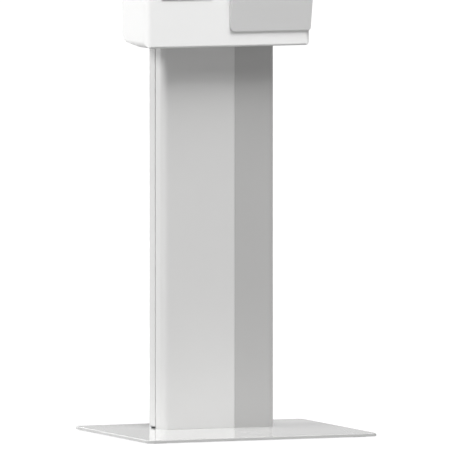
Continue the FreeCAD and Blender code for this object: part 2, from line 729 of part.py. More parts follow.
def hood_block(inset):
    """Wedge whose front leans out towards the top, so that it looks down at the hand."""
    y0, x0, x1 = HEAD_FRONT, HOOD_X0 + inset, HOOD_X1 - inset
    z0, z1 = HOOD_Z0 + inset, HOOD_Z1 - inset
    lean = math.tan(HOOD_TILT)
    skin = inset / math.cos(HOOD_TILT)
    low = y0 - HOOD_OUT - (z0 - HOOD_Z0) * lean + skin
    high = y0 - HOOD_OUT - (z1 - HOOD_Z0) * lean + skin
    foot_r, top_r = max(HOOD_FOOT_R - inset, 0), HOOD_TOP_R - inset
    wedge = side([(y0, z0, 0), (low, z0, foot_r), (high, z1, top_r), (y0, z1, 0)], x0, x1)
    if inset < HOOD_RIM_R:
        rim = [e for e in wedge.Edges if e.BoundBox.XLength < NEAR and e.BoundBox.ZLength > HOOD_H / 2.0
               and e.BoundBox.YMin < y0 - 1]
        wedge = wedge.makeFillet(HOOD_RIM_R - inset, rim)
    face = front([(x0, z0, HOOD_LEFT_R - inset), (x1, z0, HOOD_RIGHT_R - inset), (x1, z1, top_r),
                  (x0, z1, top_r)], high - PAST, y0)
    return wedge.common(face)


def window_box(gap, depth):
    """Room of the scan window across the hood, each edge drawn in by a gap."""
    x = WINDOW_W / 2.0 - gap
    return box(HOOD_MID - x, HOOD_MID + x, HEAD_FRONT - HOOD_H, HEAD_FRONT - depth,
               WINDOW_Z + gap, WINDOW_Z + WINDOW_H - gap)


def scanner_hood():
    return hood_block(0.0).cut(hood_block(HOOD_WALL)).cut(window_box(0.0, HOOD_OUT))


def scan_window():
    skin = hood_block(FIT).cut(hood_block(FIT + WINDOW_T))
    return skin.common(window_box(FIT, HOOD_OUT))


def scanner_edges(rim):
    x = SCANNER_W / 2.0 + rim
    return (HOOD_MID - x, HOOD_MID + x, SCANNER_Z - rim, SCANNER_Z + SCANNER_H + rim)


def scanner_module():
    x0, x1, z0, z1 = scanner_edges(0.0)
    y0 = HEAD_FRONT - SCANNER_REACH
    body = box(x0, x1, y0, y0 + SCANNER_D, z0, z1)
    x0, x1, z0, z1 = scanner_edges(SCANNER_RIM)
    seat = HEAD_FRONT + HEAD_WALL + SHEET
    return body.fuse(box(x0, x1, seat, seat + SHEET, z0, z1))


def scanner_bracket():
    seat = HEAD_FRONT + HEAD_WALL
    x0, x1, z0, z1 = scanner_edges(SCANNER_PLATE_RIM)
    plate = box(x0, x1, seat, seat + SHEET, z0, z1)
    x0, x1, z0, z1 = scanner_edges(EDGE_GAP)
    return plate.cut(box(x0, x1, seat - PAST, seat + SHEET + PAST, z0, z1))


# Receipt printer


def printer_body():
    y0, t = HEAD_FRONT, PRN_WALL
    body = box(PRN_X0, PRN_X1, y0, PRN_BACK, PRN_Z0, PRN_Z1)
    hollow = box(PRN_X0 + t, PRN_X1 - t, y0 - PAST, PRN_BACK - t, PRN_Z0 + t, PRN_Z1 - t)
    return body.cut([hollow, rod_x(PRN_X0 - PAST, PRN_X1 + PAST, FLAP_Y, FLAP_Z, HINGE_PIN_R + SLIP)])


def printer_bezel():
    y1, y0 = HEAD_FRONT, HEAD_FRONT - BEZEL_T
    r = BEZEL_RIM
    ring = front(frame(PRN_X0 - r, PRN_X1 + r, PRN_Z0 - r, PRN_Z1 + r, r), y0, y1)
    rim = [e for e in ring.Edges if e.BoundBox.YMax < y0 + NEAR]
    ring = ring.makeChamfer(BEZEL_T / 2.0, rim)
    lip = BEZEL_LIP
    return ring.cut(front(frame(PRN_X0 + lip, PRN_X1 - lip, PRN_Z0 + lip, PRN_Z1 - lip, lip / 2.0),
                          y0 - PAST, y1 + PAST))


def printer_door():
    """Flap on a round barrel. The paper leaves through the slot above its upper edge."""
    y, z, r = FLAP_Y, FLAP_Z, BARREL_R
    x0, x1 = PRN_X0 + BEZEL_LIP + EDGE_GAP, PRN_X1 - BEZEL_LIP - EDGE_GAP
    top = PRN_Z1 - BEZEL_LIP - SLOT_H
    face = y - r
    leaf = side([(face, z, 0), (face + FLAP_T, z, 0), (face + FLAP_T, top, 0), (face, top, BEZEL_T / 2.0)],
                x0, x1)
    barrel = rod_x(x0, x1, y, z, r)
    shape = front([(x0, z - r - PAST, 0), (x1, z - r - PAST, 0), (x1, top + PAST, r), (x0, top + PAST, r)],
                  face - PAST, y + r + PAST)
    dish = rod_x(PRN_MID - DISH_W / 2.0, PRN_MID + DISH_W / 2.0, face - DISH_R + DISH_DEPTH,
                 top - DISH_R, DISH_R)
    flap = leaf.fuse(barrel).common(shape)
    return flap.cut([dish, rod_x(x0 - PAST, x1 + PAST, y, z, HINGE_PIN_R + FIT)])


def printer_hinge_pin():
    return rod_x(PRN_X0, PRN_X1, FLAP_Y, FLAP_Z, HINGE_PIN_R)


def paper_spindle():
    return rod_x(PRN_X0 + PRN_WALL, PRN_X1 - PRN_WALL, ROLL_Y, ROLL_Z, SPINDLE_R)


def paper_roll():
    x0, x1 = PRN_MID - ROLL_W / 2.0, PRN_MID + ROLL_W / 2.0
    bore = rod_x(x0 - PAST, x1 + PAST, ROLL_Y, ROLL_Z, SPINDLE_R + FIT)
    return rod_x(x0, x1, ROLL_Y, ROLL_Z, ROLL_R).cut(bore)


def print_head():
    top = PRN_Z1 - PRN_WALL
    low = top - PRINT_HEAD_H
    y0 = HEAD_FRONT + PRINT_HEAD_GAP
    y1 = y0 + PRINT_HEAD_D
    return side([(y0, low, 0), (y1 - PRINT_HEAD_RAKE, low, BEND_R), (y1, top, 0), (y0, top, 0)],
                PRN_X0 + PRN_WALL, PRN_X1 - PRN_WALL)


# Rear hatch of the head


def hatch():
    x, y1, t = HATCH_X, HEAD_BACK, SHEET
    y0 = y1 - HATCH_DEPTH
    tray = plan([(-x, y0, 0), (x, y0, 0), (x, y1, HATCH_R), (-x, y1, HATCH_R)], HATCH_Z0, HATCH_Z1)
    room = plan([(-x + t, y0 - PAST, 0), (x - t, y0 - PAST, 0), (x - t, y1 - t, HATCH_R - t),
                 (-x + t, y1 - t, HATCH_R - t)], HATCH_Z0 + t, HATCH_Z1 - t)
    cuts = [room, lock_hole(LOCK_HEAD)]
    for z in (HATCH_Z0, HATCH_Z1 - t):
        cuts.append(rod_z(HATCH_PIVOT[0], HATCH_PIVOT[1], z, z + t, HATCH_PIVOT_R + FIT))
    for middle in SLAT_COLUMNS:
        for row in range(SLAT_ROWS):
            z = HATCH_Z1 - SLAT_DROP + SLAT_PITCH * row
            half = SLAT_W / 2.0
            cuts.append(box(middle - half, middle + half, y1 - t - PAST, y1 + PAST, z, z + SLAT_H))
    return tray.cut(cuts)


def hatch_pivots():
    """Blocks on the inner face of the shell, with pins up and down into the hatch."""
    x, y = HATCH_PIVOT
    inner = HEAD_BACK - HEAD_WALL
    middle = x - HATCH_BLOCK_SHIFT
    x0, x1 = middle - HATCH_BLOCK_W / 2.0, middle + HATCH_BLOCK_W / 2.0
    y0 = y - HATCH_BLOCK_REACH
    low_z, high_z = HATCH_Z0 - SHEET, HATCH_Z1 + SHEET
    low = box(x0, x1, y0, inner, low_z - HATCH_BLOCK_H, low_z)
    high = box(x0, x1, y0, inner, high_z, high_z + HATCH_BLOCK_H)
    low = low.fuse(rod_z(x, y, low_z - PAST, HATCH_Z0 + HATCH_PIN_REACH, HATCH_PIVOT_R))
    high = high.fuse(rod_z(x, y, HATCH_Z1 - HATCH_PIN_REACH, high_z + PAST, HATCH_PIVOT_R))
    return Part.makeCompound([low, high])


PIECES = {
    "base_plate": base_plate,
    "base_pads": base_pads,
    "cable_grommet": cable_grommet,
    "spine": spine,
    "white_shell": white_shell,
    "accent_shell": accent_shell,
    "shell_ribs": shell_ribs,
    "top_collar": top_collar,
    "column_door": column_door,
    "door_pivot_lower": door_pivot_lower,
    "door_pivot_upper": door_pivot_upper,
    "column_lock_body": lambda: lock_body(LOCK_COL),
    "column_lock_cam": lambda: lock_cam(LOCK_COL),
    "column_lock_keeper": column_lock_keeper,
    "inlet_bracket": inlet_bracket,
    "power_inlet": power_inlet,
    "power_rocker": power_rocker,
    "power_supply": power_supply,
    "head_shell": head_shell,
    "head_chassis": head_chassis,
    "display_rails": display_rails,
    "display_panel": display_panel,
    "display_glass": display_glass,
    "computer": computer,
    "scanner_hood": scanner_hood,
    "scan_window": scan_window,
    "scanner_module": scanner_module,
    "scanner_bracket": scanner_bracket,
    "printer_body": printer_body,
    "printer_bezel": printer_bezel,
    "printer_door": printer_door,
    "printer_hinge_pin": printer_hinge_pin,
    "paper_spindle": paper_spindle,
    "paper_roll": paper_roll,
    "print_head": print_head,
    "hatch": hatch,
    "hatch_pivots": hatch_pivots,
    "head_lock_body": lambda: lock_body(LOCK_HEAD),
    "head_lock_cam": lambda: lock_cam(LOCK_HEAD),
    "head_lock_keeper": head_lock_keeper,
}

os.makedirs("parts", exist_ok=True)
for name, make in PIECES.items():
    shape = make()
    shape.exportStep(os.path.join("parts", name + ".step"))
    print(name, len(shape.Solids), round(shape.Volume / 1000.0, 2), shape.isValid())
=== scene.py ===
import bpy
import bmesh
import math
from mathutils import Matrix, Vector


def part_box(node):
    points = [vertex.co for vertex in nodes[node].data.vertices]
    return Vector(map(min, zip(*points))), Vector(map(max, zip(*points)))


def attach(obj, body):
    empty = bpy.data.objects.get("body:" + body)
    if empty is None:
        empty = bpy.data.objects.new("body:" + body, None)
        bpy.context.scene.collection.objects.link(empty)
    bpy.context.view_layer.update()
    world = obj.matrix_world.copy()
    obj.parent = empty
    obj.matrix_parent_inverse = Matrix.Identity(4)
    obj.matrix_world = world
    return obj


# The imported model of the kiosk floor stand, in metres.
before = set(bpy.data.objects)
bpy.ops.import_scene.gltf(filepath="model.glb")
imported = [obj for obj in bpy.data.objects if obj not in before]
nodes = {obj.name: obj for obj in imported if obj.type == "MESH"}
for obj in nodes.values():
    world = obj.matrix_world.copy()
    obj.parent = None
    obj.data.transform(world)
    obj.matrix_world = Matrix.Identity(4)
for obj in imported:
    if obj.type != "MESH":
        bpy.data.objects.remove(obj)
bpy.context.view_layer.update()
mm = 0.001


# Studio floor. A wide matt white sheet that the stand rests on.
# Its own light lifts it to the white of the photograph, a little less close to the stand.
def fill(tree, made, values):
    """Fills a node's inputs, by name or number: links an output and sets any other value."""
    for place, value in values.items():
        if isinstance(value, bpy.types.NodeSocket):
            tree.links.new(value, made.inputs[place])
        else:
            made.inputs[place].default_value = value


def shader(tree, kind, values=None, **settings):
    """New shader node with its settings and its inputs."""
    made = tree.nodes.new("ShaderNode" + kind)
    for setting, value in settings.items():
        setattr(made, setting, value)
    fill(tree, made, values or {})
    return made


def new_material(name):
    """Material with its node tree and its surface."""
    material = bpy.data.materials.new(name)
    material.use_nodes = True
    return material, material.node_tree, material.node_tree.nodes["Principled BSDF"]


floor_reach = 220.0
floor_mesh = bpy.data.meshes.new("studio_floor")
floor_corners = [(-floor_reach, -floor_reach, 0), (floor_reach, -floor_reach, 0),
                 (floor_reach, floor_reach, 0), (-floor_reach, floor_reach, 0)]
floor_mesh.from_pydata(floor_corners, [], [(0, 1, 2, 3)])
floor = bpy.data.objects.new("studio_floor", floor_mesh)
bpy.context.scene.collection.objects.link(floor)
floor.location.z = -0.2 * mm
floor_paint, tree, surface = new_material("studio_floor")
rays = shader(tree, "LightPath").outputs
direct = shader(tree, "Math", {0: rays["Is Camera Ray"], 1: rays["Is Glossy Ray"]}, operation="ADD")
seen = shader(tree, "Math", {0: direct.outputs[0], 1: rays["Is Transmission Ray"]}, operation="ADD")
spot = shader(tree, "TexCoord").outputs["Object"]
away = shader(tree, "VectorMath", {0: spot}, operation="LENGTH").outputs["Value"]
level = shader(tree, "MapRange", {"Value": away, "From Min": 1.5, "From Max": 9.0, "To Min": 0.83,
                                  "To Max": 1.0}, interpolation_type="SMOOTHSTEP").outputs["Result"]
glow = shader(tree, "Math", {0: seen.outputs[0], 1: level}, operation="MULTIPLY", use_clamp=True).outputs[0]
fill(tree, surface, {"Base Color": (0.2, 0.2, 0.2, 1.0), "Roughness": 0.9, "Specular IOR Level": 0.1,
                     "Emission Color": (1.0, 1.0, 1.0, 1.0), "Emission Strength": glow})
floor_mesh.materials.append(floor_paint)


# Base plate. Six millimetre steel with broken edges under a thick glossy white coat,
# flat on four rubber pads. The coat mirrors the foot of the column.
def shade(colour, factor, limit=1.0):
    """Colour made lighter or darker."""
    return (*[min(c * factor, limit) for c in colour], 1.0)


def mixed(tree, factor, first, second):
    """Colour between two colours."""
    blend = shader(tree, "Mix", {"Factor": factor, "A": first, "B": second}, data_type="RGBA")
    return blend.outputs["Result"]


def spread(tree, factor, low, high):
    """Factor spread over a range of values."""
    return shader(tree, "MapRange", {"Value": factor, "To Min": low, "To Max": high}).outputs["Result"]


def coat(name, colour, gloss_low, gloss_high, peel, shine):
    """Baked powder coat: slightly cloudy colour, fine peel, edges painted a little paler as a painted
    highlight.
    """
    material, tree, surface = new_material(name)
    place = shader(tree, "TexCoord").outputs["Object"]
    cloud = shader(tree, "TexNoise", {"Vector": place, "Scale": 5.0, "Detail": 4.0}).outputs["Fac"]
    rim = shader(tree, "Bevel", {"Radius": 1.2 * mm}, samples=4).outputs["Normal"]
    face = shader(tree, "NewGeometry").outputs["True Normal"]
    turn = shader(tree, "VectorMath", {0: rim, 1: face}, operation="DOT_PRODUCT").outputs["Value"]
    # Rounded edges, where the bevel normal turns away from the true normal, are painted paler: a painted
    # highlight.
    edge_highlight = shader(tree, "MapRange", {"Value": turn, "From Min": 0.98, "From Max": 0.80, "To Max": 0.35})
    tint = mixed(tree, cloud, shade(colour, 0.975), shade(colour, 1.02))
    with_edge_highlight = mixed(tree, edge_highlight.outputs["Result"], tint, shade(colour, 1.12, 0.94))
    grain = shader(tree, "TexNoise", {"Vector": place, "Scale": 650.0, "Detail": 2.0}).outputs["Fac"]
    bump = shader(tree, "Bump", {"Strength": peel, "Distance": 0.08 * mm, "Height": grain, "Normal": rim})
    fill(tree, surface, {"Base Color": with_edge_highlight, "Roughness": spread(tree, cloud, gloss_low, gloss_high),
                         "Normal": bump.outputs["Normal"], "Specular IOR Level": shine})
    return material


def finish_nodes(material, *names):
    """Gives CAD nodes their finish by way of their material slots."""
    for name in names:
        slots = nodes[name].material_slots
        if len(slots) == 0:
            nodes[name].data.materials.append(material)
        for one in slots:
            one.material = material


def moulded(name, colour, roughness, grain, grain_scale):
    """Moulded plastic or rubber with a fine spark texture and uneven sheen."""
    material, tree, surface = new_material(name)
    place = shader(tree, "TexCoord").outputs["Object"]
    spark = shader(tree, "TexNoise", {"Vector": place, "Scale": grain_scale, "Detail": 3.0}).outputs["Fac"]
    bump = shader(tree, "Bump", {"Strength": grain, "Distance": 0.1 * mm, "Height": spark})
    fill(tree, surface, {"Base Color": mixed(tree, spark, shade(colour, 0.85), shade(colour, 1.15)),
                         "Roughness": spread(tree, spark, roughness - 0.06, roughness + 0.08),
                         "Normal": bump.outputs["Normal"]})
    return material


plate_white = coat("glossy_white_coat", (0.565, 0.565, 0.561), 0.05, 0.09, 0.04, 0.5)
finish_nodes(plate_white, "base_plate")
rubber = moulded("pad_rubber", (0.045, 0.045, 0.045), 0.75, 0.5, 900.0)
finish_nodes(rubber, "base_pads", "cable_grommet")


# Spine. A welded box post on a foot flange, in dark primer, with the ribs welded to its sides.
# Four zinc plated bolts go through the flange into threads of the base plate.
def metal(name, colour, roughness, along, streak_scale):
    """Rolled or plated metal: fine streaks along one direction and cloudy brightness."""
    material, tree, surface = new_material(name)
    place = shader(tree, "TexCoord").outputs["Object"]
    stretch = shader(tree, "Mapping", {"Vector": place, "Scale": along}).outputs["Vector"]
    noise = shader(tree, "TexNoise", {"Vector": stretch, "Scale": streak_scale, "Detail": 5.0})
    streaks = noise.outputs["Fac"]
    bump = shader(tree, "Bump", {"Strength": 0.15, "Distance": 0.05 * mm, "Height": streaks})
    fill(tree, surface, {"Base Color": mixed(tree, streaks, shade(colour, 0.8), shade(colour, 1.1)),
                         "Roughness": spread(tree, streaks, roughness - 0.08, roughness + 0.12),
                         "Metallic": 1.0, "Normal": bump.outputs["Normal"]})
    return material


def placed(name, mesh, material, body):
    """Turns a bmesh into a piece that rides on a CAD body."""
    bmesh.ops.recalc_face_normals(mesh, faces=mesh.faces)
    data = bpy.data.meshes.new(name)
    mesh.to_mesh(data)
    mesh.free()
    data.materials.append(material)
    piece = bpy.data.objects.new(name, data)
    bpy.context.scene.collection.objects.link(piece)
    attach(piece, body)


def skin(mesh, rings, hollow):
    """Faces between rings of points. A hollow form joins its last ring to its first, others are capped."""
    if hollow:
        rings = rings + [rings[0]]
    for low, high in zip(rings, rings[1:]):
        for k in range(len(low)):
            after = (k + 1) % len(low)
            mesh.faces.new((low[k], low[after], high[after], high[k]))
    if not hollow:
        mesh.faces.new(rings[0])
        mesh.faces.new(rings[-1])


def turned(mesh, place, profile, hollow=False, sides=24):
    """Turned form through (radius, height, hexagonal or not), in millimetres."""
    rings = []
    for radius, height, hexagonal in profile:
        ring = []
        for k in range(sides):
            angle = 2 * math.pi * k / sides
            reach = radius
            if hexagonal:
                reach = radius * math.cos(math.pi / 6) / math.cos(angle % (math.pi / 3) - math.pi / 6)
            spot = Vector((reach * math.cos(angle), reach * math.sin(angle), height)) * mm
            ring.append(mesh.verts.new(place @ spot))
        rings.append(ring)
    skin(mesh, rings, hollow)


def bolt_head(thread):
    """Washer and chamfered hexagonal head."""
    corner, top = thread * 0.95, thread * 0.8
    return [(thread * 1.05, 0, False), (thread * 1.08, thread * 0.14, False),
            (corner, thread * 0.16, True), (corner, top * 0.86, True), (corner * 0.84, top, False)]


def fasteners(name, profile, spots, axis):
    """Zinc plated fasteners of one kind on the fixed body, one at each spot, all along one axis."""
    mesh = bmesh.new()
    turn = Vector((0, 0, 1)).rotation_difference(Vector(axis)).to_matrix().to_4x4()
    for spot in spots:
        turned(mesh, Matrix.Translation(Vector(spot)) @ turn, profile)
    placed(name, mesh, zinc, "stand")


def bead(mesh, points, radius, step):
    """Weld bead along a run of points, with the ripples of its pool and drawn out ends."""
    spots = []
    for start, stop in zip(points, points[1:]):
        run = stop - start
        count = max(2, int(run.length / step))
        spots += [start + run * (k / count) for k in range(count)]
    spots.append(points[-1])
    closed = (points[0] - points[-1]).length < 0.01 * mm
    rings = []
    for i, spot in enumerate(spots):
        ahead = spots[min(i + 1, len(spots) - 1)] - spots[max(i - 1, 0)]
        turn = Vector((0, 0, 1)).rotation_difference(ahead.normalized()).to_matrix()
        swell = radius * (1.0 + 0.10 * math.sin(2.4 * i) + 0.05 * math.sin(0.7 * i))
        if not closed:
            swell *= 0.35 + 0.65 * min(1.0, min(i, len(spots) - 1 - i) / 3.0)
        rings.append([mesh.verts.new(spot + turn @ Vector((swell * math.cos(a), swell * math.sin(a), 0)))
                      for a in [math.pi * k / 5 for k in range(10)]])
    skin(mesh, rings, False)


primer = coat("dark_primer", (0.16, 0.165, 0.17), 0.45, 0.62, 0.3, 0.4)
zinc = metal("zinc_plate", (0.62, 0.63, 0.64), 0.34, (1.0, 1.0, 1.0), 220.0)
finish_nodes(primer, "spine", "shell_ribs", "head_chassis", "display_rails", "scanner_bracket",
             "inlet_bracket")

flange_low, flange_thick, bolt_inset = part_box("spine")[0], 6 * mm, 10 * mm
flange_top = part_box("base_plate")[1].z + flange_thick
bolt_x = -flange_low.x - bolt_inset
bolt_rows = (flange_low.y + 8 * mm, flange_low.y + 42 * mm)
fasteners("spine_foot_bolts", bolt_head(8),
          [(side * bolt_x, y, flange_top) for side in (-1, 1) for y in bolt_rows], (0, 0, 1))

post_x, post_front, post_back = 40 * mm, flange_low.y + 3 * mm, flange_low.y + 43 * mm
weld = bmesh.new()
post_corners = [(-post_x, post_front), (post_x, post_front), (post_x, post_back), (-post_x, post_back)]
foot_run = [Vector((x, y, flange_top)) for x, y in post_corners + post_corners[:1]]
bead(weld, foot_run, 2.0 * mm, 1.6 * mm)
rib_low, rib_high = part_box("shell_ribs")
lowest_top, rib_weld = rib_low.z + 20 * mm, 1.3 * mm
rib_tops = (lowest_top, (lowest_top + rib_high.z) / 2, rib_high.z)
for top in rib_tops:
    for side in (-1, 1):
        rib_run = [Vector((side * post_x, post_front + along, top)) for along in (4 * mm, 28 * mm)]
        bead(weld, rib_run, rib_weld, rib_weld)
placed("spine_welds", weld, primer, "stand")


# Cable hole. A moulded rubber bush lines it, pushed into the plate from above,
# with a soft lip that rests on the plate.
bush_low, bush_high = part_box("cable_grommet")
bush_mid = (bush_low + bush_high) / 2
lip = bmesh.new()
lip_profile = [(7.1, 0, False), (12.3, 0, False), (12.5, 0.8, False), (11.9, 1.3, False), (8.0, 1.4, False),
               (7.1, 0.7, False)]
turned(lip, Matrix.Translation((bush_mid.x, bush_mid.y, bush_high.z)), lip_profile, hollow=True, sides=36)
placed("cable_bush_lip", lip, rubber, "stand")


# Chassis fixings. Six bolts clamp the chassis to the post, and welded studs with nuts along both
# sides carry the head shell.
def nut(thread):
    """Washer, chamfered nut and the end of the stud."""
    top = thread * 0.95
    return [(thread * 1.05, 0, False), (thread * 1.08, thread * 0.14, False),
            (thread * 0.9, thread * 0.16, False), (thread * 0.95, thread * 0.22, True),
            (thread * 0.95, top * 0.9, True), (thread * 0.8, top, False), (thread * 0.5, top, False),
            (thread * 0.5, top + thread * 0.3, False), (thread * 0.38, top + thread * 0.42, False)]


chassis_low, chassis_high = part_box("head_chassis")
chassis_sheet = 3 * mm
clamp_heights, clamp_x = (58 * mm, 268 * mm, 443 * mm), 22 * mm
stud_heights, stud_y = (48 * mm, 198 * mm, 348 * mm, 488 * mm), 20 * mm
clamp_spots = [(x, chassis_high.y - chassis_sheet, chassis_low.z + height)
               for x in (-clamp_x, clamp_x) for height in clamp_heights]
fasteners("chassis_bolts", bolt_head(8), clamp_spots, (0, -1, 0))
for side, tag in ((-1, "left"), (1, "right")):
    stud_spots = [(side * (chassis_high.x - chassis_sheet), stud_y, chassis_low.z + height)
                  for height in stud_heights]
    fasteners("chassis_nuts_" + tag, nut(5), stud_spots, (-side, 0, 0))


# Column shells. Two folded sheets of two millimetres in a satin coat, the wide one white and the narrow one a
# light grey
#  accent, both painted darker than the head's white as painted shade. They meet in one plane, the grey one
#  over a joggle of the other.
# Both coats are painted darker than the head's white coat: painted shade for the lower light under the head.
# The grey is also a real accent colour.
shaded_shell_white = coat("satin_white_coat", (0.642, 0.640, 0.635), 0.30, 0.38, 0.1, 0.55)
shaded_shell_grey = coat("satin_grey_coat", (0.446, 0.444, 0.440), 0.30, 0.38, 0.1, 0.55)
finish_nodes(shaded_shell_white, "white_shell", "column_door", "top_collar")
finish_nodes(shaded_shell_grey, "accent_shell")
finish_nodes(zinc, "door_pivot_lower", "door_pivot_upper", "column_lock_cam", "column_lock_keeper",
             "hatch_pivots", "head_lock_cam", "head_lock_keeper", "printer_hinge_pin")


# Shell fixings. Studs welded to the backs of the shells pass through the ribs, each with a nut,
# so that no screw shows outside. Nuts hold the collar in the same way.
rib_sheet = 2 * mm
front_studs = [(x, rib_low.y + rib_sheet, top - 10 * mm) for top in rib_tops
               for x in (-100 * mm, -58 * mm, 58 * mm, 100 * mm)]
fasteners("shell_nuts_front", nut(5), front_studs, (0, 1, 0))
for side, tag in ((-1, "left"), (1, "right")):
    side_studs = [(side * (rib_high.x - rib_sheet), 60 * mm, top - 11 * mm) for top in rib_tops]
    fasteners("shell_nuts_" + tag, nut(5), side_studs, (-side, 0, 0))
collar_foot, collar_stud_x, collar_stud_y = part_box("top_collar")[0].z, 70 * mm, 62 * mm
collar_studs = [(side * collar_stud_x, collar_stud_y, collar_foot) for side in (-1, 1)]
fasteners("collar_nuts", nut(5), collar_studs, (0, 0, -1))


# Keeper and pivot screws. Button heads with a hexagonal socket hold the keepers of both locks
# and the blocks of the hatch pivots, out of sight behind the door and the hatch.
def button_head(thread):
    """Domed screw head with its hexagonal socket."""
    top = thread * 0.55
    return [(thread * 0.88, 0, False), (thread * 0.9, thread * 0.1, False),
            (thread * 0.8, top * 0.68, False), (thread * 0.56, top * 0.95, False),
            (thread * 0.36, top, False), (thread * 0.34, top, True),
            (thread * 0.32, top * 0.35, True), (thread * 0.1, top * 0.25, False)]


keeper_sheet, keeper_margin = 2 * mm, 8 * mm
keeper_low, keeper_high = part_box("column_lock_keeper")
column_screws = [(114.5 * mm, keeper_low.y + keeper_sheet, z)
                 for z in (keeper_low.z + keeper_margin, keeper_high.z - keeper_margin)]
fasteners("column_keeper_screws", button_head(4), column_screws, (0, 1, 0))
keeper_low, keeper_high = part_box("head_lock_keeper")
head_screws = [(173.5 * mm, keeper_high.y - keeper_sheet, z)
               for z in (keeper_low.z + keeper_margin, keeper_high.z - keeper_margin)]
fasteners("head_keeper_screws", button_head(4), head_screws, (0, -1, 0))
blocks_low, blocks_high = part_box("hatch_pivots")
block_screws = [(x, blocks_low.y, z) for z in (blocks_low.z + 4 * mm, blocks_high.z - 4 * mm)
                for x in (blocks_low.x + 3.2 * mm, blocks_high.x - 3.2 * mm)]
fasteners("pivot_block_screws", button_head(3), block_screws, (0, -1, 0))


# Cam locks. Nickel plated bodies through the door and the hatch, each held by a hexagonal nut
#  behind the sheet. The plug has a rounded face and a keyway, which turn with the cam; the keyway is a thin
#  black patch of painted shade on the face, not a cut slot.
facing_front = Matrix.Rotation(math.pi / 2, 4, "X")
facing_back = Matrix.Rotation(-math.pi / 2, 4, "X")
nickel = metal("nickel_plate", (0.74, 0.73, 0.70), 0.2, (1.0, 1.0, 1.0), 160.0)
finish_nodes(nickel, "column_lock_body", "head_lock_body")
keyway_painted_shade = moulded("keyway_shadow", (0.012, 0.012, 0.012), 0.6, 0.1, 900.0)
lock_nut = [(9.15, 0, False), (13.0, 0, False), (13.5, 0.5, True), (13.5, 3.5, True), (12.6, 4.0, False),
            (9.15, 4.0, False)]
plug_rose = [(5.6, 0, False), (5.5, 0.18, False), (4.9, 0.24, False), (4.5, 0.12, False)]
keyway_outline = [(-0.55, -3.4), (0.1, -3.4), (0.1, -2.6), (0.55, -2.2), (0.55, 0.4), (0.25, 0.9),
                  (0.55, 1.4), (0.55, 3.4), (-0.1, 3.4), (-0.1, 2.0), (-0.55, 1.5), (-0.55, -0.6),
                  (-0.25, -1.2), (-0.55, -1.8)]
nut_depth = 4 * mm
for lock, door in (("column_lock", "column_door"), ("head_lock", "head_hatch")):
    low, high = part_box(lock + "_body")
    middle_x, middle_z = (low.x + high.x) / 2, (low.z + high.z) / 2
    behind = bmesh.new()
    turned(behind, Matrix.Translation((middle_x, high.y - nut_depth, middle_z)) @ facing_front, lock_nut,
           hollow=True, sides=36)
    placed(lock + "_nut", behind, nickel, door)
    plug_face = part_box(lock + "_cam")[1].y
    rose = bmesh.new()
    turned(rose, Matrix.Translation((middle_x, plug_face, middle_z)) @ facing_back, plug_rose, sides=36)
    placed(lock + "_plug_face", rose, nickel, lock)
    # Keyway: a thin black patch on the plug face, painted shade that stands for the hollow of the slot.
    keyway = bmesh.new()
    loops = [[keyway.verts.new((middle_x + u * mm, plug_face + depth, middle_z + v * mm))
              for u, v in keyway_outline] for depth in (0.10 * mm, 0.16 * mm)]
    skin(keyway, loops, False)
    placed(lock + "_keyway", keyway, keyway_painted_shade, lock)


# Power parts in the column. A moulded inlet with its three blades and a rocker switch, clipped into
# a bracket that four screws hold to the post, and a power supply in a can of rolled aluminium.
def rounded(mesh, place, steps, hollow=False):
    """Form of rounded rectangles through (half width, half height, corner, lift), in millimetres."""
    rings = []
    for half_width, half_height, corner, lift in steps:
        ring = []
        for k in range(20):
            quarter, part = divmod(k, 5)
            angle = math.pi / 2 * (quarter + part / 4)
            u = (half_width - corner) * (1 if quarter in (0, 3) else -1) + corner * math.cos(angle)
            v = (half_height - corner) * (1 if quarter in (0, 1) else -1) + corner * math.sin(angle)
            ring.append(mesh.verts.new(place @ (Vector((u, v, lift)) * mm)))
        rings.append(ring)
    skin(mesh, rings, hollow)


black_plastic = moulded("black_plastic", (0.028, 0.028, 0.03), 0.45, 0.35, 1400.0)
rolled = metal("rolled_aluminium", (0.70, 0.71, 0.72), 0.36, (1.0, 1.0, 14.0), 30.0)
finish_nodes(black_plastic, "power_inlet", "power_rocker", "scanner_module", "printer_body",
             "paper_spindle")
finish_nodes(rolled, "power_supply", "display_panel")
bracket_back, bracket_x, bracket_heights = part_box("inlet_bracket")[1].y, 25 * mm, (70 * mm, 110 * mm)
bracket_screws = [(x, bracket_back, z) for x in (-bracket_x, bracket_x) for z in bracket_heights]
fasteners("inlet_bracket_screws", button_head(4), bracket_screws, (0, 1, 0))

inlet_low, inlet_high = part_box("power_inlet")
inlet_x = (inlet_low.x + inlet_high.x) / 2
socket_foot, socket_floor = inlet_low.z + 6.5 * mm, inlet_high.y - 18.9 * mm
blade_steps = [(1.15, 2.65, 0.2, 0), (1.15, 2.65, 0.2, 15.4), (0.75, 2.2, 0.2, 16.1)]
blades = bmesh.new()
for offset, height in ((-7 * mm, 8 * mm), (0, 11 * mm), (7 * mm, 8 * mm)):
    root = Matrix.Translation((inlet_x + offset, socket_floor, socket_foot + height))
    rounded(blades, root @ facing_back, blade_steps)
placed("inlet_blades", blades, nickel, "stand")

